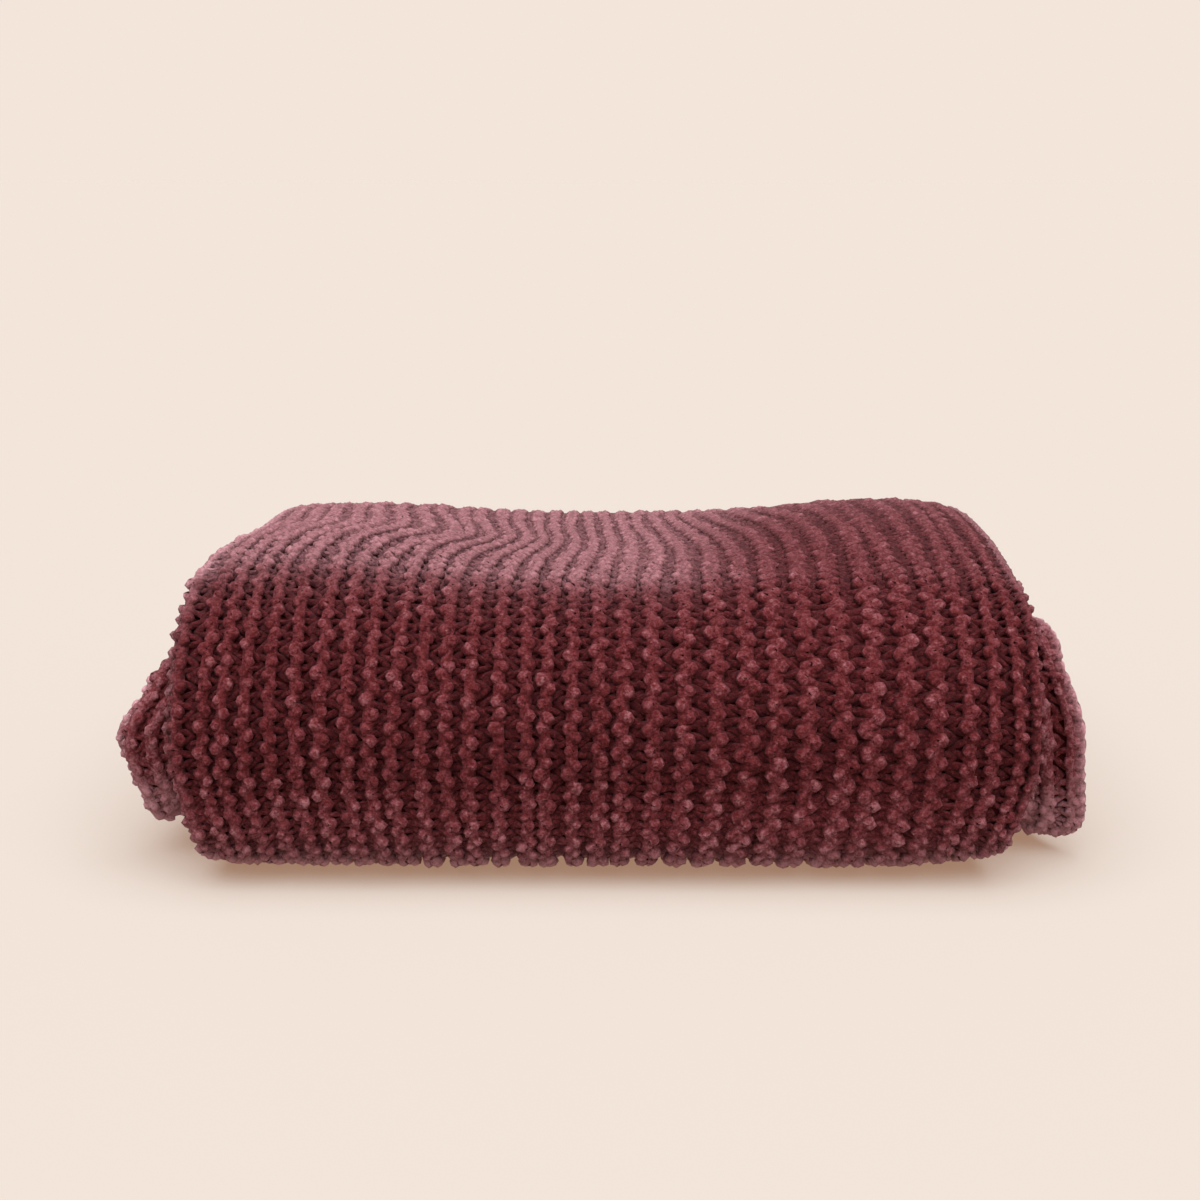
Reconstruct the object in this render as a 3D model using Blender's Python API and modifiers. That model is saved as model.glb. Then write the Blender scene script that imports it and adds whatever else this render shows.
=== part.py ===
"""Chunky chenille throw blanket, knitted in one piece and folded into a plump bundle.

The throw is folded in thirds across its width, which makes a strip three layers thick. The strip is
folded in half and in half again, so that four strips lie on each other and the last fold, large and
round, faces -Y. Metres, +Z up, the origin on the floor under the middle of the bundle.
"""

import math

import bmesh
import bpy
from mathutils import Vector

NAME = "throw_blanket"

# The flat throw and its cloth.
THROW_LENGTH = 1.52      # along the strip; the width of 1.27 is taken up by the three panels
CLOTH = 0.0097           # thickness of the knitted cloth
LAYER = 0.0114           # from one layer of a strip to the next
STRIP_GAP = 0.0040       # extra room between two strips
STRIP = 3 * LAYER + STRIP_GAP
STACK = 3 * STRIP + 2 * LAYER + CLOTH

# The folded strip: two free ends and three folds, each a half circle.
ROUND_FOLD = 1.5 * STRIP     # radius of the outer fold in front, round the inner one
TIGHT_FOLD = 0.5 * STRIP     # radius of the inner fold in front and of the fold at the back
RUN = (THROW_LENGTH - math.pi * (ROUND_FOLD + 2 * TIGHT_FOLD)) / 4
END_OFFSET = 0.012           # how much further back the lower free end reaches
FRONT = ROUND_FOLD + LAYER + CLOTH / 2

# Stations along the strip: segments in each run and fold.
RUN_SEGMENTS = 6
ROUND_SEGMENTS = 10
TIGHT_SEGMENTS = 8

# Stations across the strip, as shares of the flat part between its two folded sides.
SHARES = (0.0, 0.05, 0.14, 0.26, 0.39, 0.52, 0.65, 0.78, 0.88, 0.93, 0.97, 1.0)
LEFT_SEGMENTS = 6
RIGHT_SEGMENTS = 4
FLAP_SHORT = 0.003           # how far the upper flap stops short of the folded side it lies along

# Where the strip's two folded sides lie. Place counts the parts of the strip from its lower free end:
# 0 to 1 is the bottom strip, to 2 the round front, to 3 the top strip, to 4 the back fold, to 5 the
# upper inner strip, to 6 the inner front fold and to 7 the lower inner strip.
EDGES = (
    # part of the strip      place   left     right
    ("lower free end",        0.00, -0.212,   0.222),
    ("bottom strip",          0.45, -0.212,   0.220),
    ("behind the foot",       0.93, -0.204,   0.206),
    ("foot of the front",     1.20, -0.210,   0.213),
    ("middle of the front",   1.50, -0.219,   0.225),
    ("top of the front",      1.90, -0.217,   0.225),
    ("top strip",             2.30, -0.212,   0.231),
    ("top, to the back",      2.75, -0.211,   0.235),
    ("back fold",             3.50, -0.208,   0.228),
    ("upper inner, back",     4.40, -0.216,   0.230),
    ("upper inner, front",    4.95, -0.227,   0.230),
    ("over the inner fold",   5.25, -0.240,   0.241),
    ("inner front fold",      5.50, -0.254,   0.254),
    ("under the inner fold",  5.75, -0.247,   0.258),
    ("lower inner, front",    6.10, -0.236,   0.243),
    ("lower inner, back",     6.60, -0.216,   0.229),
    ("upper free end",        7.00, -0.214,   0.225),
)

# How the settled bundle rises above the even stack or falls below it.
SWELLS = (
    # place                    x      depth  reach_x  reach_y   rise
    ("left front corner",   -0.155,   0.115,  0.085,   0.085,   0.0165),
    ("right, to the back",   0.175,   0.205,  0.085,   0.100,   0.0160),
    ("left of the back",    -0.130,   0.260,  0.090,   0.080,   0.0080),
    ("trough in the top",    0.000,   0.235,  0.100,   0.080,  -0.0060),
    ("left side",           -0.270,   0.200,  0.050,   0.250,  -0.0070),
    ("right side",           0.280,   0.120,  0.050,   0.150,  -0.0120),
    ("back",                 0.000,   0.430,  0.400,   0.120,  -0.0280),
)

# Where the underside leaves the floor at the two sides.
LIFTS = (
    # side     starts   ends    height
    ("left",  -0.165,  -0.245,  0.0050),
    ("right",  0.150,   0.245,  0.0080),
)
SAG = 0.0050                    # how far the middle of the front hangs below half height
SAG_REACH = 0.060
SPREAD = 0.0200                 # how far the foot of the front spreads forward
SPREAD_LEVELS = (0.07, 0.43)    # full below the first share of the height, none above the second
SPREAD_DEPTHS = (0.060, 0.260)

# Beyond the outer strips' sides the inner ones open upwards and sag to the floor.
SLUMPS = (
    # side     starts   ends    raise    drop
    ("left",  -0.203,  -0.232,  0.0000,  0.0290),
    ("right",  0.205,   0.236,  0.0240,  0.0370),
)
SLUMP_DEPTHS = (0.015, 0.045, 0.110, 0.240)  # depths where they start, are full, fade and end
LOWER_HALF = (0.0, 0.25, 0.62)  # levels where the drop starts, is full and ends
UPPER_HALF = (0.45, 0.75, 1.0)

MAROON = (0.115, 0.018, 0.030, 1.0)


def rising(value, limits):
    """A smooth step: 0 at the first limit, 1 at the second."""
    t = min(max((value - limits[0]) / (limits[1] - limits[0]), 0.0), 1.0)
    return t * t * (3 - 2 * t)


def hump(value, limits):
    """Rises from 0 at the first limit to 1 at the second, and falls to 0 at the third."""
    return rising(value, limits[:2]) - rising(value, limits[1:])


def between(rows, at, column):
    """A column of a table, read at a place between two rows."""
    for low, high in zip(rows, rows[1:]):
        if at <= high[1]:
            share = rising(at, (low[1], high[1]))
            return low[column] + share * (high[column] - low[column])
    return rows[-1][column]


def strip_stations():
    """The middle line of the folded strip, from the lower free end to the upper one.

    Each station is (place, depth, height, normal depth, normal height). Place is as in EDGES, depth
    counts from the front of the bundle, and the normal points to the side of the middle panel.
    """
    near, far = FRONT, FRONT + RUN
    levels = [LAYER + CLOTH / 2 + STRIP * step for step in range(4)]
    stations = []

    def run(part, start, stop, level, up):
        for step in range(RUN_SEGMENTS + 1):
            share = step / RUN_SEGMENTS
            stations.append((part + share, start + (stop - start) * share, level, 0.0, up))

    def fold(part, depth, low, high, side, outward, segments):
        for step in range(1, segments):
            share = step / segments
            out = side * math.sin(math.pi * share)
            over = math.copysign(1, low - high) * math.cos(math.pi * share)
            stations.append(
                (
                    part + share,
                    depth + abs(high - low) / 2 * out,
                    (low + high) / 2 + abs(high - low) / 2 * over,
                    outward * out,
                    outward * over,
                )
            )

    run(0, far + END_OFFSET, near, levels[0], -1)
    fold(1, near, levels[0], levels[3], -1, 1, ROUND_SEGMENTS)
    run(2, near, far, levels[3], 1)
    fold(3, far, levels[3], levels[2], 1, 1, TIGHT_SEGMENTS)
    run(4, far, near, levels[2], -1)
    fold(5, near, levels[2], levels[1], -1, -1, TIGHT_SEGMENTS)
    run(6, near, far - END_OFFSET, levels[1], 1)
    return stations


def cross_stations(left, right):
    """The three layers across the strip, from the free edge of one flap to that of the other.

    Each station is (x, height, normal x, normal height), with the height counted from the middle
    layer towards the middle panel. One flap is folded in from the right, then one from the left.
    """
    left_turn = left + CLOTH / 2 + LAYER
    right_turn = right - CLOTH / 2 - LAYER / 2
    flat = [left_turn + share * (right_turn - left_turn) for share in SHARES]
    stations = [(right - FLAP_SHORT, -LAYER, 0.0, -1.0)]
    stations += [(x, -LAYER, 0.0, -1.0) for x in reversed(flat)]
    for step in range(1, LEFT_SEGMENTS):
        turn = math.pi * step / LEFT_SEGMENTS
        out, over = -math.sin(turn), -math.cos(turn)
        stations.append((left_turn + LAYER * out, LAYER * over, out, over))
    stations += [(x, LAYER, 0.0, 1.0) for x in flat]
    for step in range(1, RIGHT_SEGMENTS):
        turn = math.pi * step / RIGHT_SEGMENTS
        out, over = math.sin(turn), math.cos(turn)
        stations.append((right_turn + LAYER / 2 * out, LAYER / 2 * (1 + over), out, over))
    stations += [(x, 0.0, 0.0, -1.0) for x in reversed(flat[1:])]
    return stations


def settle(x, depth, height):
    """Moves a point of the even stack to where it lies in the settled, plump bundle."""
    rise = 0.0
    for _, middle, back, reach_x, reach_y, amount in SWELLS:
        rise += amount * math.exp(-(((x - middle) / reach_x) ** 2) - ((depth - back) / reach_y) ** 2)
    lift = 0.0
    for _, start, stop, amount in LIFTS:
        lift += amount * rising(x, (start, stop))
    level = height / STACK
    height = lift + level * (STACK + rise - lift)
    height -= SAG * math.sin(math.pi * level) * math.exp(-((depth / SAG_REACH) ** 2))
    near = rising(depth, SLUMP_DEPTHS[:2]) - rising(depth, SLUMP_DEPTHS[2:])
    for _, start, stop, above, below in SLUMPS:
        out = near * rising(x, (start, stop))
        height += out * (above * hump(level, UPPER_HALF) - below * hump(level, LOWER_HALF))
    foot = (1 - rising(level, SPREAD_LEVELS)) * (1 - rising(depth, SPREAD_DEPTHS))
    return Vector((x, depth - SPREAD * foot, height))


def folded(along_station, cross_station, side):
    """A point on one face of the cloth, which is squeezed but never swollen; side is 1 or -1."""
    _, depth, height, normal_depth, normal_height = along_station
    x, layer, normal_x, normal_layer = cross_station
    middle = settle(x, depth + layer * normal_depth, height + layer * normal_height)
    offset = side * CLOTH / 2
    x += offset * normal_x
    layer += offset * normal_layer
    face = settle(x, depth + layer * normal_depth, height + layer * normal_height)
    reach = face - middle
    return middle + reach * min(1.0, CLOTH / 2 / reach.length)


def flat_slab(columns, rows):
    """A flat cloth with a thickness, with one cell between neighbouring stations."""
    mesh = bpy.data.meshes.new(NAME)
    bm = bmesh.new()
    bmesh.ops.create_grid(bm, x_segments=columns - 1, y_segments=rows - 1, size=0.5)
    bm.to_mesh(mesh)
    bm.free()
    flat = bpy.data.objects.new(NAME, mesh)
    bpy.context.scene.collection.objects.link(flat)
    thick = flat.modifiers.new("thickness", "SOLIDIFY")
    thick.thickness = 1.0
    thick.offset = 0.0
    bpy.context.view_layer.update()
    slab = bpy.data.meshes.new_from_object(flat.evaluated_get(bpy.context.evaluated_depsgraph_get()))
    bpy.data.objects.remove(flat)
    bpy.data.meshes.remove(mesh)
    slab.name = NAME
    return slab


def throw_mesh():
    """The flat slab, folded and settled, with the origin under its middle."""
    along = strip_stations()
    across = [
        cross_stations(between(EDGES, place, 2), between(EDGES, place, 3)) for place, *_ in along
    ]
    columns, rows = len(across[0]), len(along)
    slab = flat_slab(columns, rows)
    for vertex in slab.vertices:
        column = round((vertex.co.x + 0.5) * (columns - 1))
        row = round((vertex.co.y + 0.5) * (rows - 1))
        side = 1 if vertex.co.z > 0 else -1
        vertex.co = folded(along[row], across[row][column], side)
    middle = [
        (min(v.co[axis] for v in slab.vertices) + max(v.co[axis] for v in slab.vertices)) / 2
        for axis in (0, 1)
    ]
    for vertex in slab.vertices:
        vertex.co.x -= middle[0]
        vertex.co.y -= middle[1]
    return slab


def yarn_material():
    """Soft maroon yarn."""
    material = bpy.data.materials.new("maroon_chenille")
    material.use_nodes = True
    shader = material.node_tree.nodes["Principled BSDF"]
    shader.inputs["Base Color"].default_value = MAROON
    shader.inputs["Roughness"].default_value = 0.9
    shader.inputs["Metallic"].default_value = 0.0
    return material


def build():
    for item in list(bpy.data.objects):
        bpy.data.objects.remove(item)
    collection = bpy.data.collections.new("chenille_throw_blanket")
    bpy.context.scene.collection.children.link(collection)
    throw = bpy.data.objects.new(NAME, throw_mesh())
    throw.data.materials.append(yarn_material())
    throw.data.shade_smooth()
    throw.data.set_sharp_from_angle(angle=math.radians(50))
    collection.objects.link(throw)


build()
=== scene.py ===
"""Looks of the folded chenille throw: garter-stitch yarn on a folded sheet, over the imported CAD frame."""

import math

import bpy
import numpy as np
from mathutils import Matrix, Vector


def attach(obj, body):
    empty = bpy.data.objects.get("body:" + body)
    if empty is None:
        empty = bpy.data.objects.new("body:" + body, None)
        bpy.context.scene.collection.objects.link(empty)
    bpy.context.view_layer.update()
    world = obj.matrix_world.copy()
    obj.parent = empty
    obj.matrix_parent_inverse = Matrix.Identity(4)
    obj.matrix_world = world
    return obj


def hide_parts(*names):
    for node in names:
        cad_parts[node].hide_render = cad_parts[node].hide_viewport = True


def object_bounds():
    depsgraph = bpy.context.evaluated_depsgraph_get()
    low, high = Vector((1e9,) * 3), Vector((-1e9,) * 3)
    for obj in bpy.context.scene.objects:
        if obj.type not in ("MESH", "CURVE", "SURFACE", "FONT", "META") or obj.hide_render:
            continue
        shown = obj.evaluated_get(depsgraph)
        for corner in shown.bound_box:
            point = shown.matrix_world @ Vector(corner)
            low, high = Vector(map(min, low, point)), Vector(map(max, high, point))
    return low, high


NODE = "throw_blanket"
SEED = 7

# The flat throw and how it is folded, as in the CAD part.
THROW_LENGTH = 1.52
CLOTH = 0.0097
LAYER = 0.0114
STRIP_GAP = 0.0040
STRIP = 3 * LAYER + STRIP_GAP
STACK = 3 * STRIP + 2 * LAYER + CLOTH
ROUND_FOLD = 1.5 * STRIP
TIGHT_FOLD = 0.5 * STRIP
RUN = (THROW_LENGTH - math.pi * (ROUND_FOLD + 2 * TIGHT_FOLD)) / 4
END_OFFSET = 0.012
NEAR = ROUND_FOLD + LAYER + CLOTH / 2
FAR = NEAR + RUN
FLAP_SHORT = 0.003
FLAP_START = 0.05        # share of the panel by which the right flap stops short of the left fold
LEVELS = [LAYER + CLOTH / 2 + STRIP * step for step in range(4)]

# The strip's parts, in order from its lower free end, with the number of stitches along each. A run
# goes from one depth to another on one level; a fold turns round one depth from one level to the next.
STRIP_PARTS = (
    # part            stitches  start             stop              from       to         side  up
    ("bottom strip",   27,      FAR + END_OFFSET, NEAR,             LEVELS[0], LEVELS[0],  0,   -1),
    ("round front",    19,      NEAR,             NEAR,             LEVELS[0], LEVELS[3], -1,    1),
    ("top strip",      27,      NEAR,             FAR,              LEVELS[3], LEVELS[3],  0,    1),
    ("back fold",       8,      FAR,              FAR,              LEVELS[3], LEVELS[2],  1,    1),
    ("upper inner",    27,      FAR,              NEAR,             LEVELS[2], LEVELS[2],  0,   -1),
    ("inner front",    12,      NEAR,             NEAR,             LEVELS[2], LEVELS[1], -1,   -1),
    ("lower inner",    26,      NEAR,             FAR - END_OFFSET, LEVELS[1], LEVELS[1],  0,    1),
)

BACK_FOLD_ENDS = 4       # the place where the outer parts of the strip end and the inner ones start

# The panels across the strip, with the number of ridges on each.
PANELS = (
    # panel        ridges
    ("left flap",   33),
    ("left fold",    3),
    ("middle",      31),
    ("right fold",   2),
    ("right flap",  30),
)
CLOSE_RIDGES = 6         # ridges at each side of the left flap that lie closer together
CLOSE_SHARE = 0.145      # share of the flap's width that they take

# How far apart the ridges lie across the middle panel, which is pulled wide on the right.
PITCHES = (
    # share   pitch
    (0.00,  0.0110),
    (0.06,  0.0110),
    (0.15,  0.0122),
    (0.45,  0.0123),
    (0.52,  0.0138),
    (0.60,  0.0144),
    (0.70,  0.0153),
    (0.80,  0.0162),
    (0.87,  0.0162),
    (0.94,  0.0125),
    (1.00,  0.0100),
)

# Where the strip's two folded sides lie, as in the CAD part.
EDGES = (
    # part of the strip      place   left     right
    ("lower free end",        0.00, -0.212,   0.222),
    ("bottom strip",          0.45, -0.212,   0.220),
    ("behind the foot",       0.93, -0.204,   0.206),
    ("foot of the front",     1.20, -0.210,   0.213),
    ("middle of the front",   1.50, -0.219,   0.225),
    ("top of the front",      1.90, -0.217,   0.225),
    ("top strip",             2.30, -0.212,   0.231),
    ("top, to the back",      2.75, -0.211,   0.235),
    ("back fold",             3.50, -0.208,   0.228),
    ("upper inner, back",     4.40, -0.216,   0.230),
    ("upper inner, front",    4.95, -0.227,   0.230),
    ("over the inner fold",   5.25, -0.240,   0.241),
    ("inner front fold",      5.50, -0.254,   0.254),
    ("under the inner fold",  5.75, -0.247,   0.258),
    ("lower inner, front",    6.10, -0.236,   0.243),
    ("lower inner, back",     6.60, -0.216,   0.229),
    ("upper free end",        7.00, -0.214,   0.225),
)
SWELLS = (
    # place                    x      depth  reach_x  reach_y   rise
    ("left front corner",   -0.155,   0.115,  0.085,   0.085,   0.0165),
    ("right, to the back",   0.175,   0.205,  0.085,   0.100,   0.0160),
    ("left of the back",    -0.130,   0.260,  0.090,   0.080,   0.0080),
    ("trough in the top",    0.000,   0.235,  0.100,   0.080,  -0.0060),
    ("left side",           -0.270,   0.200,  0.050,   0.250,  -0.0070),
    ("right side",           0.280,   0.120,  0.050,   0.150,  -0.0120),
    ("back",                 0.000,   0.430,  0.400,   0.120,  -0.0280),
)
LIFTS = (
    # side     starts   ends    height
    ("left",  -0.165,  -0.245,  0.0050),
    ("right",  0.150,   0.245,  0.0080),
)
SAG = 0.0050
SAG_REACH = 0.060
SPREAD = 0.0200
SPREAD_LEVELS = (0.07, 0.43)
SPREAD_DEPTHS = (0.060, 0.260)
SLUMPS = (
    # side     starts   ends    raise    drop
    ("left",  -0.203,  -0.232,  0.0000,  0.0290),
    ("right",  0.205,   0.236,  0.0240,  0.0370),
)
SLUMP_DEPTHS = (0.015, 0.045, 0.110, 0.240)
LOWER_HALF = (0.0, 0.25, 0.62)
UPPER_HALF = (0.45, 0.75, 1.0)

# How the ridges of the middle panel sway sideways on the top.
SWAYS = (
    # place                    x      depth  reach_x  reach_y   shift
    ("into the trough",     -0.100,   0.190,  0.080,   0.050,   0.0200),
    ("back out of it",      -0.100,   0.300,  0.090,   0.070,   0.0060),
    ("from the right",       0.110,   0.300,  0.090,   0.100,  -0.0260),
)

# Where the cloth lies flat, in stitches along the strip.
FLAT_UNTIL = (24, 30)    # between these it rises from the floor
FLAT_FROM = (44, 54)     # and between these it turns flat on the top
TURNED = 102             # from here on it lies inside the round front
FLAT_INSIDE = 0.4        # and pressed as flat as this

# The yarn's path. Two rows make a ridge.
YARN = 0.0024            # mean radius
PLUMP = 0.28             # how much fatter the yarn is on a bump, and thinner between two
PLUMP_REACH = 2.6        # how soon it gets thinner away from a bump
PLUMP_FLAT = 0.40        # share of that plumpness left where the cloth lies flat
THINNER = 0.12           # how much thinner the yarn is there
RELIEF = 0.0028          # how far a bump's middle lies from the middle of the cloth
FLATTER = 0.40           # share of that relief left where the cloth lies flat
LOOP = 0.415             # half the width of a row's loops, in ridges
WIDER = 0.030            # how much wider they are where the cloth lies flat,
OPENER = 0.12            # and where the ridges are pulled apart
FATTER_LEGS = 0.8        # how much fatter the yarn gets there between its bumps
LOOP_SHAPE = 0.015       # how far a loop is wider at its head than at its foot, in stitches
CLOSER = 0.45            # how much closer the points lie on the outer side than on average
PITCH = 0.0123           # how far apart the ridges lie on average

# How uneven the yarn is.
ACROSS = 0.05            # how unevenly the loops lie across the ridge, in ridges,
ALONG = 0.08             # along it, in stitches,
OUT = 0.0003             # and out of the cloth
SIZE = 0.13              # how much their size changes
OUTLIERS = 1.6           # and how many times as far as usual the farthest may be out
TUFTS = 0.09             # unevenness of the yarn's surface, as a share of its radius,
TUFT_OUTLIERS = 2.0      # and how many times as far as usual the farthest point may be out
WANDER = 0.10            # how far a ridge strays sideways, in ridges
WANDER_REACH = 9         # over how many stitches

# The pile that fills a ridge between its loops.
BODY = 0.0032            # radius
BODY_LIFT = 0.0011       # how far its middle lies out of the middle of the cloth
BODY_FLATTER = 0.50      # how much less it does where the cloth lies flat,
BODY_WIDER = 0.42        # and how much wider
BODY_LOWER = 0.08        # and lower it is there
BODY_TUFTS = 0.08        # unevenness of its surface
BODY_STEPS = 5           # points along a stitch
PLAIN_SIDES = 4          # strands with so few sides lie where little shows, and have none between them

# The strands along the throw's edges. A strand is as thin as the "thin" share of its radius between two
# lumps, and a lump adds its own share. The tone is that between two lumps. The cast-on chain runs along
# the stitches and swings by a part of a ridge; a selvedge runs along the ridges and swings by a part of
# a stitch.
EDGE_STRANDS = {
    # strand      radius   thin   lump   tone   swing  sides  points to a stitch or ridge
    "cast-on":   (0.0038,  0.85,  0.22,  0.15,  0.06,  8,     8),
    "selvedge":  (0.0042,  0.75,  0.40,  0.10,  0.10,  6,     4),
}
CAST_ON_RIDGE = -0.05    # the ridge at which the cast-on chain lies
LUMP_HIGHLIGHT = 0.35         # how much paler a strand's lumps are, as painted light
EDGE_LEAN = 1.5          # how much more the direction that the painted sheen follows points away from the throw than round the strand

# The sheet behind the stitches, painted dark as the shade between them.
CORE = 0.0004            # half its thickness
CORE_DEPTH = 0.0020      # how far it lies behind the middle of the cloth
CORE_RIDGES = (
    # from  to  steps: close where the cloth turns or slumps
    (0,     6,  10),
    (6,    27,   8),
    (27,   33,   6),
    (33,   36,   6),
    (36,   40,   4),
    (40,   58,  12),
    (58,   67,  10),
    (67,   69,   5),
    (69,   76,   8),
    (76,   99,   9),
)
CORE_RUN_STEPS = 12      # steps along a run of the strip,
CORE_FOLD_STEPS = 10     # along a fold,
CORE_FRONT_STEPS = 16    # and along the round fold in front

# The pile's tone, 0 darkest and 1 palest. Much of it is painted shade and light: dark where the yarn lies
# deep in the cloth, pale where it stands out.
TONE_LOW = 0.05          # of the yarn between its bumps
DEPTH_SHADE = 0.21          # how much it rises out of the cloth, as painted shade deeper in,
CREST_HIGHLIGHT = 0.23        # and on the top of a loop, as a painted highlight,
CREST = 2                # and how sharply it does there
TONE = 0.11              # how much it changes from bump to bump
TUFT_TONE = 0.06         # and from tuft to tuft
BODY_LOW = 0.08          # tone of the pile that fills a ridge
BODY_SHADE = 0.34         # and how much it rises out of the cloth, as painted shade on its side facing in
PAINTED_LIGHT_BELOW = 0.46       # how much paler the pile is where the cloth bends under, as painted light from the floor,
PAINTED_LIGHT_INSIDE = 0.30      # and on the folds inside, as painted light too

# The tilt of the painted sheen, and the pile's looks.
SHEEN_TILT = 0.42               # how far the painted sheen's direction tilts forward on the right of the shoulder, which paints less sheen there,
SHEEN_TILT_FROM = (0.02, 0.12)  # from where to where across the throw,
SHEEN_TILT_STITCHES = (36, 46, 74)  # and from which stitch, most at which, and until which
SHADED_PILE_COLOURS = (
    # tone   colour
    (0.00,  (0.034, 0.003, 0.004, 1.0)),
    (0.30,  (0.076, 0.008, 0.009, 1.0)),
    (0.65,  (0.136, 0.029, 0.034, 1.0)),
    (1.00,  (0.250, 0.096, 0.107, 1.0)),
)
FIBRE_SCALE = 460.0      # how fine the mottle of the fibres is, per metre
MOTTLE = 2.10            # how much the fibres change the tone
FIBRE_DEPTH = 0.0025     # and how deep their bumps are
PAINTED_SHEEN = 0.90              # painted sheen: how far the colour turns pale where the cloth is seen along its face
PAINTED_SHEEN_DEEP = 0.4         # added to the tone, so that some painted sheen shows deep in the cloth too
PAINTED_SHEEN_EDGE = 3.7          # power of the slant: a higher one keeps the painted sheen closer to the edge
# The colour of the painted sheen.
PAINTED_SHEEN_COLOUR = (0.585, 0.315, 0.352, 1.0)
SHEEN_TINT = (1.0, 0.60, 0.66, 1.0)
# The colour of the painted shade on the sheet between the stitches.
CREVICE_SHADE_COLOUR = (0.042, 0.005, 0.006, 1.0)

# The light and the view.
AIR = (0.896, 0.783, 0.701)     # brightness of the walls all round
AIR_BAND = (0.08, 0.32)         # heights where the walls' brightness starts to fade and has faded
AIR_ABOVE = 0.30                # share of it that is left above
GLOW = (0.34, 0.20, 0.13)       # share of the floor's brightness that stays in its shadows
KEY_LIGHT = 2.0                 # brightness that the light above adds on a white floor
KEY_TILT = (20.0, 0.0)          # degrees that the light comes from in front and from the side
KEY_SPREAD = 80.0
CAMERA_X = -0.002
CAMERA_AWAY = 0.80              # how far the camera stands from the front of the bundle
CAMERA_HEIGHT = 0.355
CAMERA_DOWN = 14.14             # degrees that it looks down
LENS = 51.15                    # millimetres
FLOOR_REACH = 60.0

# The pieces of yarn: everything that the folded throw shows, and finest where it shows best.
SECTIONS = (
    # piece                 ridges          stitches     sides steps
    ("yarn_front_left",    (35.0, 51.0),   (27, 46),      8,   10),
    ("yarn_front_right",   (51.0, 68.0),   (27, 46),      8,   10),
    ("yarn_top_left",      (35.0, 51.0),   (46, 73),      6,    8),
    ("yarn_top_right",     (51.0, 68.0),   (46, 73),      6,    8),
    ("yarn_back_fold",     (31.0, 71.0),   (73, 81),      5,    5),
    ("yarn_bottom",        (35.0, 68.0),   (3, 27),       4,    3),
    ("yarn_left_outer",    (31.0, 35.0),   (27, 73),      6,    8),
    ("yarn_right_outer",   (68.0, 71.0),   (27, 73),      6,    8),
    ("yarn_left_foot",     (31.0, 35.0),   (3, 27),       5,    5),
    ("yarn_right_foot",    (68.0, 71.0),   (3, 27),       5,    5),
    ("yarn_flap_edge",     (0.0, 2.0),     (3, 81),       5,    5),
    ("yarn_left_nose",     (28.0, 36.0),   (102, 126),    7,    9),
    ("yarn_right_nose",    (0.0, 6.0),     (102, 126),    6,    8),
    ("yarn_right_hollow",  (62.0, 71.0),   (102, 126),    5,    5),
    ("yarn_left_hollow",   (36.0, 43.0),   (92, 126),     4,    4),
    ("yarn_left_upper",    (31.0, 36.0),   (81, 102),     5,    5),
    ("yarn_left_lower",    (31.0, 36.0),   (126, 143),    5,    5),
    ("yarn_right_upper",   (66.0, 71.0),   (81, 102),     5,    5),
    ("yarn_right_lower",   (66.0, 71.0),   (126, 143),    5,    5),
    ("yarn_flap_upper",    (0.0, 2.0),     (81, 102),     5,    5),
    ("yarn_flap_lower",    (0.0, 2.0),     (126, 143),    5,    5),
    ("yarn_lower_end",     (0.0, 99.0),    (0, 3),        4,    4),
    ("yarn_upper_end",     (0.0, 99.0),    (143, 146),    4,    4),
)


def rising(value, limits):
    """A smooth step: 0 at the first limit, 1 at the second."""
    t = np.clip((value - limits[0]) / (limits[1] - limits[0]), 0.0, 1.0)
    return t * t * (3 - 2 * t)


def hump(value, limits):
    """Rises from 0 at the first limit to 1 at the second, and falls to 0 at the third."""
    return rising(value, limits[:2]) - rising(value, limits[1:])


def between(rows, at, column):
    """A column of a table, read at places between its rows."""
    places = np.array([row[1] for row in rows])
    values = np.array([row[column] for row in rows])
    low = np.clip(np.searchsorted(places, at, side="right") - 1, 0, len(rows) - 2)
    t = np.clip((at - places[low]) / (places[low + 1] - places[low]), 0.0, 1.0)
    return values[low] + t * t * (3 - 2 * t) * (values[low + 1] - values[low])


def strip_place(stitch):
    """Which part of the strip a stitch lies on, as in EDGES."""
    ends = np.cumsum([0] + [row[1] for row in STRIP_PARTS])
    place = np.interp(stitch, ends, np.arange(len(ends)))
    first, last = STRIP_PARTS[0][1], STRIP_PARTS[-1][1]
    return place + np.minimum(stitch, 0) / first + np.maximum(stitch - ends[-1], 0) / last


def strip_line(place):
    """The strip's middle line: depth, height and the normal towards the middle panel."""
    part = np.clip(np.floor(place), 0, len(STRIP_PARTS) - 1).astype(int)
    share = place - part
    start, stop, low, high, side, up = (
        np.array([row[column] for row in STRIP_PARTS])[part] for column in range(2, 8)
    )
    radius = np.abs(high - low) / 2
    out = side * np.sin(math.pi * share)
    over = np.sign(low - high) * np.cos(math.pi * share)
    fold = side != 0
    depth = np.where(fold, start + radius * out, start + (stop - start) * share)
    height = np.where(fold, (low + high) / 2 + radius * over, low)
    return depth, height, np.where(fold, up * out, 0.0), np.where(fold, up * over, up)


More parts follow.
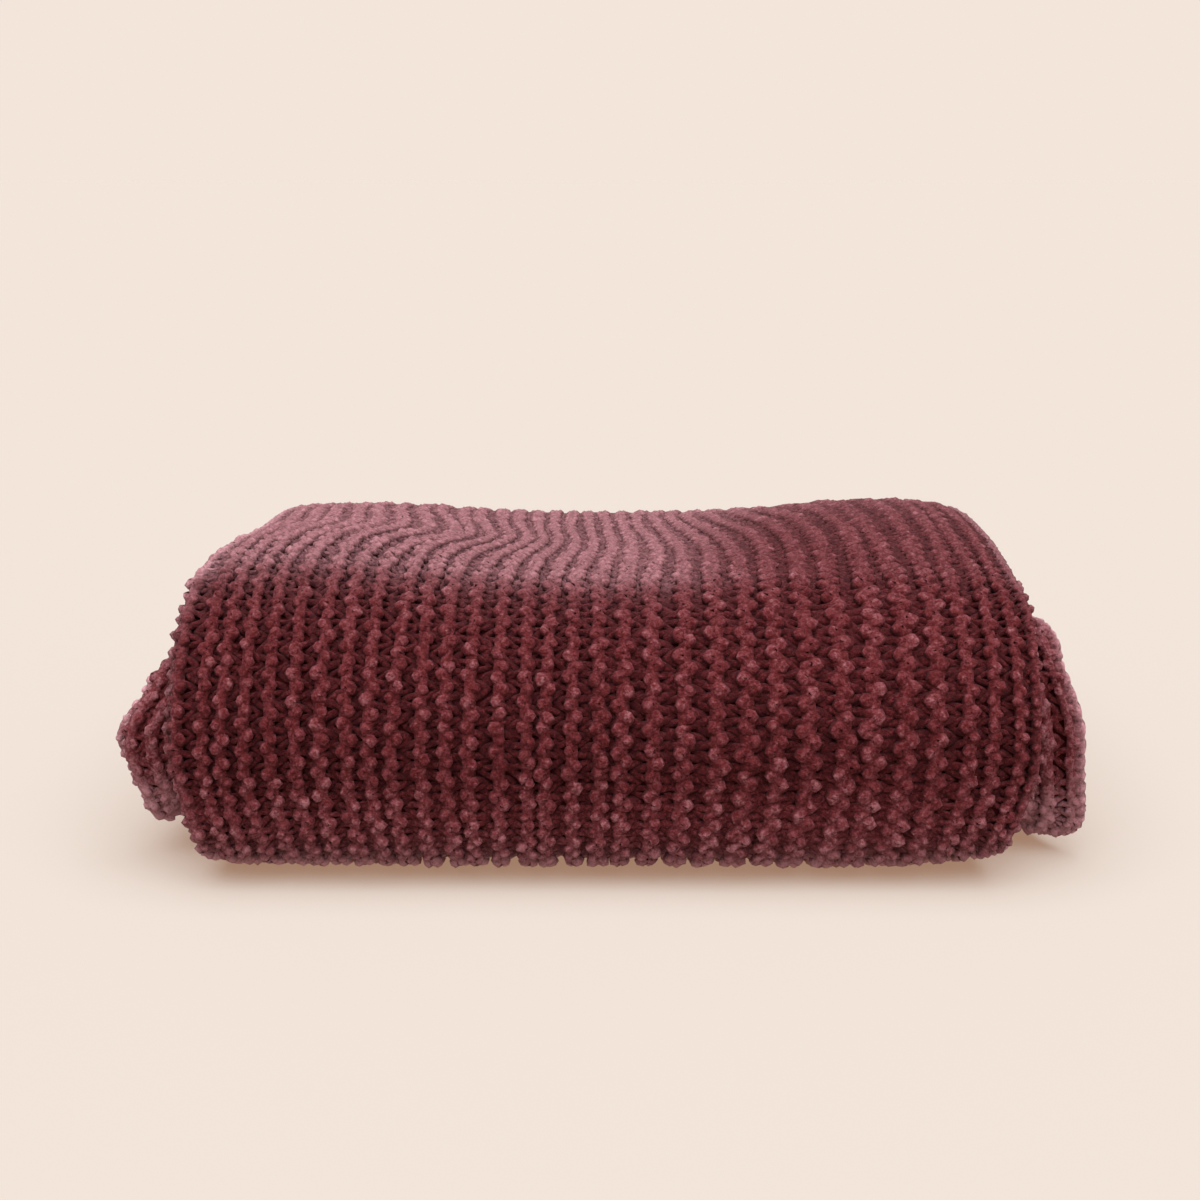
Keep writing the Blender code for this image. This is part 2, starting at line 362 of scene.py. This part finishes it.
def panel_place(ridge):
    """Which panel a ridge lies on, and where: 2 to 3 is the middle panel."""
    ends = np.cumsum([0] + [row[1] for row in PANELS])
    shares = np.linspace(0, 1, 200)
    pitches = np.interp(shares, *zip(*PITCHES))
    counted = np.concatenate(([0], np.cumsum(2 / (pitches[1:] + pitches[:-1]))))
    middle = ends[2] + counted / counted[-1] * (ends[3] - ends[2])
    close = [CLOSE_RIDGES, ends[1] - CLOSE_RIDGES]
    knots = np.concatenate((ends[:1], close, ends[1:2], middle, ends[4:]))
    places = np.concatenate(([0, CLOSE_SHARE, 1 - CLOSE_SHARE, 1], 2 + shares, [4, 5]))
    return np.interp(ridge, knots, places)


def cross_line(place, left, right):
    """The three layers across the strip: x, height from the middle layer, and the normal."""
    panel = np.clip(np.floor(place), 0, len(PANELS) - 1).astype(int)
    share = place - panel
    left_turn = left + CLOTH / 2 + LAYER
    right_turn = right - CLOTH / 2 - LAYER / 2
    free_edge = right - FLAP_SHORT
    inner_edge = left_turn + FLAP_START * (right_turn - left_turn)
    turn = math.pi * share
    zero = np.zeros_like(share)
    x = np.choose(
        panel,
        (
            free_edge + (left_turn - free_edge) * share,
            left_turn - LAYER * np.sin(turn),
            left_turn + (right_turn - left_turn) * share,
            right_turn + LAYER / 2 * np.sin(turn),
            right_turn + (inner_edge - right_turn) * share,
        ),
    )
    layer = np.choose(
        panel, (zero - LAYER, -LAYER * np.cos(turn), zero + LAYER, LAYER / 2 * (1 + np.cos(turn)), zero)
    )
    normal_x = np.choose(panel, (zero, -np.sin(turn), zero, np.sin(turn), zero))
    normal_layer = np.choose(panel, (zero - 1, -np.cos(turn), zero + 1, np.cos(turn), zero - 1))
    return x, layer, normal_x, normal_layer


def bumps(rows, x, depth):
    """The sum of a table's soft bumps."""
    total = np.zeros_like(x)
    for _, middle, back, reach_x, reach_y, amount in rows:
        total += amount * np.exp(-(((x - middle) / reach_x) ** 2) - ((depth - back) / reach_y) ** 2)
    return total


def settle(x, depth, height):
    """Moves points of the even stack to where they lie in the settled, plump bundle."""
    rise = bumps(SWELLS, x, depth)
    lift = sum(amount * rising(x, (start, stop)) for _, start, stop, amount in LIFTS)
    level = height / STACK
    height = lift + level * (STACK + rise - lift)
    height = height - SAG * np.sin(math.pi * level) * np.exp(-((depth / SAG_REACH) ** 2))
    near = rising(depth, SLUMP_DEPTHS[:2]) - rising(depth, SLUMP_DEPTHS[2:])
    for _, start, stop, above, below in SLUMPS:
        out = near * rising(x, (start, stop))
        height = height + out * (above * hump(level, UPPER_HALF) - below * hump(level, LOWER_HALF))
    foot = (1 - rising(level, SPREAD_LEVELS)) * (1 - rising(depth, SPREAD_DEPTHS))
    return np.stack((x, depth - SPREAD * foot, height), axis=-1)


def cloth(ridge, stitch, offset):
    """Points of the folded cloth, offset from its middle towards its outer face."""
    place = strip_place(stitch)
    depth, height, normal_depth, normal_height = strip_line(place)
    left, right = between(EDGES, place, 2), between(EDGES, place, 3)
    x, layer, normal_x, normal_layer = cross_line(panel_place(ridge), left, right)
    on_top = (layer > LAYER / 2) & (place < BACK_FOLD_ENDS) & (height > STACK / 2)
    x = x + np.where(on_top, bumps(SWAYS, x, depth), 0.0)

    def at(offset):
        out = layer + offset * normal_layer
        return settle(x + offset * normal_x, depth + out * normal_depth, height + out * normal_height)

    middle = at(0.0)
    reach = at(np.full_like(x, CLOTH / 2)) - middle
    length = np.linalg.norm(reach, axis=-1, keepdims=True)
    normal = reach / length
    return middle + normal * (offset * np.minimum(1.0, length[..., 0] / (CLOTH / 2)))[..., None], normal


def in_steps(spans):
    """Places along some spans that follow each other, each in its own number of even steps."""
    places = [np.linspace(start, stop, steps + 1) for start, stop, steps in spans]
    return np.concatenate([span[:-1] for span in places] + [places[-1][-1:]])


def core_sheet(material):
    """A sheet painted dark as the shade between the stitches: one closed sheet, folded as the throw is."""
    steps = [CORE_FOLD_STEPS if row[6] else CORE_RUN_STEPS for row in STRIP_PARTS]
    # The round fold in front is the second part.
    steps[1] = CORE_FRONT_STEPS
    ends = np.cumsum([0] + [row[1] for row in STRIP_PARTS])
    ridge, stitch = np.meshgrid(in_steps(CORE_RIDGES), in_steps(zip(ends, ends[1:], steps)))
    faces = [
        cloth(ridge, stitch, np.full_like(ridge, side * CORE - CORE_DEPTH))[0] for side in (1, -1)
    ]
    rows, columns = ridge.shape
    points = np.concatenate([face.reshape(-1, 3) for face in faces])
    index = np.arange(rows * columns).reshape(rows, columns)
    quads = np.stack((index[:-1, :-1], index[:-1, 1:], index[1:, 1:], index[1:, :-1]), axis=-1).reshape(-1, 4)
    back = quads[:, ::-1] + rows * columns
    rim = np.concatenate((index[0, :], index[1:, -1], index[-1, -2::-1], index[-2:0:-1, 0]))
    following = np.roll(rim, -1)
    edge = np.stack((following, rim, rim + rows * columns, following + rows * columns), axis=-1)
    return add_mesh("throw_shade_sheet", points, np.concatenate((quads, back, edge)), [material])


def add_mesh(name, points, quads, materials, triangles=None):
    """A smooth mesh of four-sided faces, with some triangles where asked."""
    mesh = bpy.data.meshes.new(name)
    faces = list(map(tuple, quads.tolist()))
    if triangles is not None:
        faces += list(map(tuple, triangles.tolist()))
    mesh.from_pydata(points.tolist(), [], faces)
    mesh.shade_smooth()
    for material in materials:
        mesh.materials.append(material)
    piece = bpy.data.objects.new(name, mesh)
    bpy.context.scene.collection.objects.link(piece)
    return piece


def uneven_loops(at, course, table):
    """A seeded value for every loop's head and foot, read along the yarn."""
    heads, feet = table
    head = (1 - np.cos(2 * math.pi * at)) / 2
    last = heads.shape[1] - 1
    head_at = np.clip(np.floor(at + 1e-9), 0, last).astype(int)
    foot_at = np.clip(np.floor(at + 0.5), 0, last).astype(int)
    return head * heads[course, head_at] + (1 - head) * feet[course, foot_at]


def stray(at, ridges, chance):
    """How far each ridge strays sideways along its length."""
    drift, knots = chance["wander"]
    return WANDER * np.array([np.interp(row, knots, drift[ridge]) for row, ridge in zip(at, ridges)])


def flatness(at):
    """How flat the cloth is pressed: 1 at the bottom and on the top, and 0 where it turns in front."""
    outer = rising(at, FLAT_FROM) + 1 - rising(at, FLAT_UNTIL)
    return np.where(at < TURNED, outer, FLAT_INSIDE)


def painted_light(at, normal):
    """How much painted light pales the pile where it bends under, as from the floor, and on the folds inside.
    """
    return PAINTED_LIGHT_BELOW * np.clip(-normal[..., 2], 0.0, 1.0) + PAINTED_LIGHT_INSIDE * (at > TURNED)


def sheen_side(at, centre, normal):
    """The direction that the painted sheen is read against: out of the cloth, but tilted forward on the right
    of the shoulder.
    """
    side = normal.copy()
    side[..., 1] -= SHEEN_TILT * rising(centre[..., 0], SHEEN_TILT_FROM) * hump(at, SHEEN_TILT_STITCHES)
    return side / np.linalg.norm(side, axis=-1, keepdims=True)


def spread_of(ridge, stitch):
    """How much wider apart the ridges lie there than on average."""
    flat = np.zeros_like(ridge)
    across = cloth(ridge + 0.5, stitch, flat)[0] - cloth(ridge - 0.5, stitch, flat)[0]
    return np.linalg.norm(across, axis=-1) / PITCH


def ring_round(centre, normal, sides):
    """Directions out of a strand's middle line, all round it: their part out of the cloth, and along it."""
    tangent = np.gradient(centre, axis=1)
    tangent /= np.linalg.norm(tangent, axis=-1, keepdims=True)
    up = normal - tangent * np.sum(normal * tangent, axis=-1, keepdims=True)
    up /= np.linalg.norm(up, axis=-1, keepdims=True)
    side = np.cross(tangent, up)
    turn = 2 * math.pi * np.arange(sides) / sides
    return np.cos(turn)[:, None] * up[:, :, None, :], np.sin(turn)[:, None] * side[:, :, None, :]


def tube_faces(rows, along, sides):
    """Four-sided faces and end caps of some closed tubes."""
    index = np.arange(rows * along * sides).reshape(rows, along, sides)
    around = np.roll(index, -1, axis=2)
    quads = np.stack((index[:, :-1], around[:, :-1], around[:, 1:], index[:, 1:]), axis=-1)
    caps = []
    for corner in range(1, sides - 1):
        caps.append(index[:, 0][:, [0, corner + 1, corner]])
        caps.append(index[:, -1][:, [0, corner, corner + 1]])
    return quads.reshape(-1, 4), np.concatenate(caps)


def tufts_of(rng, shape):
    """A seeded value for every point of a strand."""
    return np.clip(rng.normal(0.0, 1.0, shape), -TUFT_OUTLIERS, TUFT_OUTLIERS)


def yarn_loops(courses, stitches, sides, steps, chance, rng):
    """The yarn of some rows of stitches: points, the pile's tone and the cloth's outward side."""
    first, last = stitches
    samples = np.arange((last - first) * steps + 1) / steps + first
    course, at = np.meshgrid(courses, samples, indexing="ij")
    knit = np.where(course % 2 == 0, 1.0, -1.0)
    at = at + CLOSER * knit * np.sin(2 * math.pi * at) / (2 * math.pi)
    phase = 2 * math.pi * at
    flat = flatness(at)

    def uneven(name):
        return uneven_loops(at, course, chance[name])

    spread = spread_of((course + 0.5) / 2, at)
    loop = LOOP + WIDER * flat + OPENER * np.maximum(spread - 1, 0.0) * (1 - flat)
    ridge = (course + 0.5) / 2 - loop * np.cos(phase) + ACROSS * uneven("across")
    ridge = ridge + stray(at, courses // 2, chance)
    stitch = at + LOOP_SHAPE * np.sin(2 * phase) + ALONG * uneven("along")
    lift = -knit * np.cos(phase)
    lift = (lift + np.sin(math.pi / 2 * lift)) / 2
    offset = RELIEF * (1 - (1 - FLATTER) * flat) * lift + OUT * uneven("out")
    centre, normal = cloth(ridge, stitch, offset)
    plump = PLUMP * (1 - (1 - PLUMP_FLAT) * flat)
    radius = YARN * (1 + plump * (2 * np.abs(np.cos(phase)) ** PLUMP_REACH - 1) + SIZE * uneven("size"))
    radius = radius * spread ** (0.5 + FATTER_LEGS * np.sin(phase) ** 2) * (1 - THINNER * flat)
    upward, sideways = ring_round(centre, normal, sides)
    ring = upward + sideways
    tufts = tufts_of(rng, ring.shape[:3])
    reach = radius[:, :, None] * (1 + TUFTS * tufts)
    points = centre[:, :, None, :] + ring * reach[..., None]
    facing = np.sum(ring * normal[:, :, None, :], axis=-1)
    raised = lift[:, :, None] * np.where(facing > 0, 1.0, -1.0)
    out = (RELIEF * raised + reach * np.abs(facing)) / (RELIEF + YARN)
    crest = np.maximum(raised, 0.0) ** CREST
    crests = CREST_HIGHLIGHT + TONE * uneven("tone")[:, :, None]
    # Painted shade and light: darker the deeper the yarn lies in the cloth and paler on the tops of the
    # loops; the rest changes at random from bump to bump and tuft to tuft.
    pile = TONE_LOW + DEPTH_SHADE * out + crests * crest + TUFT_TONE * tufts
    outward = np.broadcast_to(sheen_side(at, centre, normal)[:, :, None, :], points.shape)
    return points, pile + painted_light(at, normal)[:, :, None], outward


def ridge_bodies(ridges, stitches, sides, steps, chance, rng):
    """The pile that fills each ridge between its loops."""
    first, last = stitches
    samples = np.arange((last - first) * steps + 1) / steps + first
    ridge, at = np.meshgrid(ridges, samples, indexing="ij")
    flat = flatness(at)
    middle = ridge + 0.5 + stray(at, ridges, chance)
    centre, normal = cloth(middle, at, BODY_LIFT * (1 - BODY_FLATTER * flat))
    upward, sideways = ring_round(centre, normal, sides)
    tufts = tufts_of(rng, upward.shape[:3])
    reach = (BODY * (1 + BODY_TUFTS * tufts))[..., None]
    wide = ((1 + BODY_WIDER * flat) * spread_of(middle, at))[:, :, None, None]
    high = (1 - BODY_LOWER * flat)[:, :, None, None]
    points = centre[:, :, None, :] + (upward * high + sideways * wide) * reach
    facing = np.sum(upward * normal[:, :, None, :], axis=-1)
    # Painted shade: darker on the side that faces into the cloth.
    pile = BODY_SHADE * np.maximum(facing, 0.0) + BODY_LOW + TUFT_TONE * tufts
    outward = np.broadcast_to(sheen_side(at, centre, normal)[:, :, None, :], points.shape)
    return points, pile + painted_light(at, normal)[:, :, None], outward


def edge_strand(strand, ridge, at, inner, lumps, rng):
    """A strand along an edge of the throw, which stands away from the inner points beside it."""
    radius, thin, lump, tone, _, sides, _ = EDGE_STRANDS[strand]
    centre, normal = cloth(ridge, at, np.zeros_like(at))
    upward, sideways = ring_round(centre, normal, sides)
    tufts = tufts_of(rng, upward.shape[:3])
    reach = radius * (thin + lump * lumps + TUFTS * tufts / 2)
    ring = upward + sideways
    points = centre[:, :, None, :] + ring * reach[..., None]
    away = centre - cloth(*inner, np.zeros_like(at))[0]
    outward = ring + EDGE_LEAN * (away / np.linalg.norm(away, axis=-1, keepdims=True))[:, :, None, :]
    outward /= np.linalg.norm(outward, axis=-1, keepdims=True)
    # Painted light: the lumps are paler than the thin parts between them.
    return points, tone + LUMP_HIGHLIGHT * lumps + TUFT_TONE * tufts, outward


def cast_on_chain(rng):
    """The chain along the throw's free long edge."""
    *_, swing, _, steps = EDGE_STRANDS["cast-on"]
    stitches = sum(row[1] for row in STRIP_PARTS)
    at = np.arange(stitches * steps + 1)[None, :] / steps
    ridge = CAST_ON_RIDGE + swing * np.sin(2 * math.pi * at)
    lumps = np.abs(np.cos(2 * math.pi * at))[:, :, None]
    return edge_strand("cast-on", ridge, at, (ridge + 1.0, at), lumps, rng)


def selvedge(stitch, inward, rng):
    """The yarn that turns back from row to row, along one short end of the throw."""
    *_, swing, _, steps = EDGE_STRANDS["selvedge"]
    ridges = sum(row[1] for row in PANELS)
    ridge = np.arange(ridges * steps + 1)[None, :] / steps
    at = stitch + swing * np.cos(2 * math.pi * ridge)
    lumps = (np.sin(math.pi * ridge) ** 2)[:, :, None]
    return edge_strand("selvedge", ridge, at, (ridge, at + inward), lumps, rng)


def add_yarn(name, material, tubes):
    """A piece of yarn with the marks that its material reads, from one or more sets of tubes."""
    points, quads, caps = [], [], []
    count = 0
    for tube, _, _ in tubes:
        faces, ends = tube_faces(*tube.shape[:3])
        points.append(tube.reshape(-1, 3))
        quads.append(faces + count)
        caps.append(ends + count)
        count += len(points[-1])
    piece = add_mesh(
        name, np.concatenate(points), np.concatenate(quads), [material], np.concatenate(caps)
    )
    pile = np.concatenate([tone.ravel() for _, tone, _ in tubes])
    outward = np.concatenate([side.ravel() for _, _, side in tubes])
    marks = piece.data.attributes
    marks.new("pile", "FLOAT", "POINT").data.foreach_set("value", pile)
    marks.new("outward", "FLOAT_VECTOR", "POINT").data.foreach_set("vector", outward)
    return piece


def chances(rng):
    """Seeded unevenness of every loop's head and foot."""
    rows = 2 * sum(row[1] for row in PANELS)
    columns = sum(row[1] for row in STRIP_PARTS) + 1
    names = ("across", "along", "out", "size", "tone")
    table = {}
    for name in names:
        table[name] = np.clip(rng.normal(0.0, 1.0, (2, rows, columns)), -OUTLIERS, OUTLIERS)
    knots = np.arange(0, columns + WANDER_REACH, WANDER_REACH)
    drift = rng.normal(0.0, 1.0, (rows // 2, len(knots)))
    table["wander"] = drift, knots
    return table


def stitched_yarn(material):
    """The knitted yarn wherever the folded throw shows it."""
    rng = np.random.default_rng(SEED)
    chance = chances(rng)
    pieces = []
    for name, (low, high), stitches, sides, steps in SECTIONS:
        courses = np.arange(int(2 * low), int(2 * high))
        ridges = np.arange(int(low), int(high))
        tubes = [yarn_loops(courses, stitches, sides, steps, chance, rng)]
        if sides > PLAIN_SIDES:
            tubes.append(ridge_bodies(ridges, stitches, sides - 1, BODY_STEPS, chance, rng))
        pieces.append(add_yarn(name, material, tubes))
    pieces.append(add_yarn("yarn_cast_on", material, [cast_on_chain(rng)]))
    last = sum(row[1] for row in STRIP_PARTS)
    ends = [selvedge(0, 1.0, rng), selvedge(last, -1.0, rng)]
    pieces.append(add_yarn("yarn_selvedges", material, ends))
    return pieces


def nodes_of(material):
    """A material's nodes and, of these, its shader."""
    material.use_nodes = True
    tree = material.node_tree
    return tree, tree.nodes["Principled BSDF"]


def calculate(tree, operation, *values, clamp=False):
    """A Math node fed by numbers and by other nodes' outputs."""
    node = tree.nodes.new("ShaderNodeMath")
    node.operation = operation
    node.use_clamp = clamp
    for socket, value in zip(node.inputs, values):
        if isinstance(value, bpy.types.NodeSocket):
            tree.links.new(value, socket)
        else:
            socket.default_value = value
    return node.outputs["Value"]


def attribute(tree, name, output):
    """A mark that the pieces carry at their points."""
    node = tree.nodes.new("ShaderNodeAttribute")
    node.attribute_name = name
    return node.outputs[output]


def fibre_noise(tree):
    """The fine grain of the pile's fibres."""
    place = tree.nodes.new("ShaderNodeTexCoord")
    fibres = tree.nodes.new("ShaderNodeTexNoise")
    fibres.inputs["Scale"].default_value = FIBRE_SCALE
    fibres.inputs["Detail"].default_value = 4.0
    fibres.inputs["Roughness"].default_value = 0.70
    tree.links.new(place.outputs["Object"], fibres.inputs["Vector"])
    return fibres.outputs["Fac"]


def shaded_pile_colour(tree, tone):
    """The pile's colour, from the darkest, which is painted shade, to the palest, which is painted light."""
    ramp = tree.nodes.new("ShaderNodeValToRGB")
    stops = ramp.color_ramp.elements
    stops[0].color = SHADED_PILE_COLOURS[0][1]
    stops[1].color = SHADED_PILE_COLOURS[-1][1]
    for position, colour in SHADED_PILE_COLOURS[1:-1]:
        stops.new(position).color = colour
    tree.links.new(tone, ramp.inputs["Fac"])
    return ramp.outputs["Color"]


def with_painted_sheen(tree, colour, tone):
    """A sheen painted into the colour: it turns pale where the cloth, not the single strand, is seen along
    its face, and more where the pile's tone is high.
    """
    slant = tree.nodes.new("ShaderNodeLayerWeight")
    slant.inputs["Blend"].default_value = 0.5
    tree.links.new(attribute(tree, "outward", "Vector"), slant.inputs["Normal"])
    grazing = calculate(tree, "POWER", slant.outputs["Facing"], PAINTED_SHEEN_EDGE)
    sheen_share = calculate(tree, "MULTIPLY_ADD", tone, PAINTED_SHEEN, PAINTED_SHEEN_DEEP * PAINTED_SHEEN, clamp=True)
    sheen_mix = tree.nodes.new("ShaderNodeMix")
    sheen_mix.data_type = "RGBA"
    sheen_mix.inputs["B"].default_value = PAINTED_SHEEN_COLOUR
    tree.links.new(calculate(tree, "MULTIPLY", grazing, sheen_share), sheen_mix.inputs["Factor"])
    tree.links.new(colour, sheen_mix.inputs["A"])
    return sheen_mix.outputs["Result"]


def chenille_material():
    """Velvety burgundy yarn, with painted shade where it lies deep, painted pinkish light where it stands
    out, a painted sheen, and a soft sheen of the shader's own.
    """
    material = bpy.data.materials.new("burgundy_chenille")
    tree, shader = nodes_of(material)
    fibres = fibre_noise(tree)
    mottle = calculate(tree, "MULTIPLY_ADD", fibres, MOTTLE, -MOTTLE / 2)
    # The pile's tone carries painted shade and light as well as the yarn's own unevenness.
    tone = calculate(tree, "ADD", attribute(tree, "pile", "Fac"), mottle)
    colour = with_painted_sheen(tree, shaded_pile_colour(tree, tone), tone)
    tree.links.new(colour, shader.inputs["Base Color"])
    bump = tree.nodes.new("ShaderNodeBump")
    bump.inputs["Strength"].default_value = 1.0
    bump.inputs["Distance"].default_value = FIBRE_DEPTH
    tree.links.new(fibres, bump.inputs["Height"])
    tree.links.new(bump.outputs["Normal"], shader.inputs["Normal"])
    shader.inputs["Roughness"].default_value = 0.95
    shader.inputs["Specular IOR Level"].default_value = 0.0
    shader.inputs["Sheen Weight"].default_value = 0.05
    shader.inputs["Sheen Roughness"].default_value = 0.7
    shader.inputs["Sheen Tint"].default_value = SHEEN_TINT
    return material


def crevice_material():
    """The deep shade between the stitches."""
    material = bpy.data.materials.new("burgundy_painted_shade")
    shader = nodes_of(material)[1]
    # A colour of painted shade, not of a real cloth.
    shader.inputs["Base Color"].default_value = CREVICE_SHADE_COLOUR
    shader.inputs["Roughness"].default_value = 1.0
    shader.inputs["Specular IOR Level"].default_value = 0.0
    return material


def pale_floor():
    """A pale floor without an end, as bright as the light all round it."""
    sides = ((-1, -1), (1, -1), (1, 1), (-1, 1))
    points = np.array([(x * FLOOR_REACH, y * FLOOR_REACH, 0.0) for x, y in sides])
    material = bpy.data.materials.new("pale_paper")
    shader = nodes_of(material)[1]
    # The share of the walls' brightness that reaches the floor, summed over heights in even steps.
    heights = (np.arange(1000) + 0.5) / 1000
    sky = AIR_ABOVE + (1 - AIR_ABOVE) * (1 - rising(heights, AIR_BAND))
    from_air = float(np.sum(sky * 2 * heights) / 1000)
    shader.inputs["Base Color"].default_value = (
        *((air - glow) / (air * from_air + KEY_LIGHT) for air, glow in zip(AIR, GLOW)),
        1.0,
    )
    # The floor glows by itself: painted light that keeps its shadows pale and warm.
    shader.inputs["Emission Color"].default_value = (*GLOW, 1.0)
    shader.inputs["Emission Strength"].default_value = 1.0
    shader.inputs["Roughness"].default_value = 1.0
    shader.inputs["Specular IOR Level"].default_value = 0.0
    return add_mesh("floor", points, np.array([(0, 1, 2, 3)]), [material])


def studio():
    """Light from all round, dimmer high up except to the camera, and a broad soft light above."""
    world = bpy.data.worlds.new("studio")
    bpy.context.scene.world = world
    world.use_nodes = True
    tree = world.node_tree
    ground = tree.nodes["Background"]
    ground.inputs["Color"].default_value = (*AIR, 1.0)
    place = tree.nodes.new("ShaderNodeTexCoord")
    split = tree.nodes.new("ShaderNodeSeparateXYZ")
    fade = tree.nodes.new("ShaderNodeMapRange")
    fade.interpolation_type = "SMOOTHSTEP"
    fade.inputs["From Min"].default_value = AIR_BAND[0]
    fade.inputs["From Max"].default_value = AIR_BAND[1]
    fade.inputs["To Min"].default_value = 1.0
    fade.inputs["To Max"].default_value = AIR_ABOVE
    tree.links.new(place.outputs["Generated"], split.inputs["Vector"])
    tree.links.new(split.outputs["Z"], fade.inputs["Value"])
    ray = tree.nodes.new("ShaderNodeLightPath")
    seen = calculate(tree, "MAXIMUM", fade.outputs["Result"], ray.outputs["Is Camera Ray"])
    tree.links.new(seen, ground.inputs["Strength"])
    light = bpy.data.lights.new("overhead", "SUN")
    light.energy = KEY_LIGHT * math.pi / math.cos(math.radians(KEY_TILT[0]))
    light.angle = math.radians(KEY_SPREAD)
    lamp = bpy.data.objects.new("overhead", light)
    lamp.rotation_euler = (math.radians(KEY_TILT[0]), math.radians(KEY_TILT[1]), 0.0)
    bpy.context.scene.collection.objects.link(lamp)


def camera(low):
    """The photograph's view: from in front, looking down a little on the top of the bundle."""
    lens = bpy.data.cameras.new("camera")
    lens.sensor_width = 36.0
    lens.lens = LENS
    lens.clip_start = 0.05
    view = bpy.data.objects.new("camera", lens)
    bpy.context.scene.collection.objects.link(view)
    view.location = (CAMERA_X, low.y - CAMERA_AWAY, CAMERA_HEIGHT)
    view.rotation_euler = (math.radians(90.0 - CAMERA_DOWN), 0.0, 0.0)
    bpy.context.scene.camera = view


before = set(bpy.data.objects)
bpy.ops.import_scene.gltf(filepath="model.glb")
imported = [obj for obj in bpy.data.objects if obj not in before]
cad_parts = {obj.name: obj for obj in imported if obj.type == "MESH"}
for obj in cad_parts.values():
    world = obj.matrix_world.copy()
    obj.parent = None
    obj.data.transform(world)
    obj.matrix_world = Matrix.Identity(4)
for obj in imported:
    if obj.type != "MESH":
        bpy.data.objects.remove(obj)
cad_low, cad_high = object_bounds()
yarn = chenille_material()
sheet = core_sheet(crevice_material())
pieces = stitched_yarn(yarn)

# The folded cloth is centred on the CAD part, and its lowest bumps are pressed flat on the floor.
corners = np.empty(len(sheet.data.vertices) * 3)
sheet.data.vertices.foreach_get("co", corners)
middle = (corners.reshape(-1, 3).min(0) + corners.reshape(-1, 3).max(0)) / 2
for piece in [sheet, *pieces]:
    co = np.empty(len(piece.data.vertices) * 3)
    piece.data.vertices.foreach_get("co", co)
    co = co.reshape(-1, 3)
    co[:, 0] += (cad_low.x + cad_high.x) / 2 - middle[0]
    co[:, 1] += (cad_low.y + cad_high.y) / 2 - middle[1]
    co[:, 2] = np.maximum(co[:, 2], 0.0)
    piece.data.vertices.foreach_set("co", co.ravel())
    piece.data.update()
    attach(piece, "root")
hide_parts(NODE)

pale_floor()
studio()
camera(cad_low)
bpy.context.scene.view_settings.view_transform = "Standard"
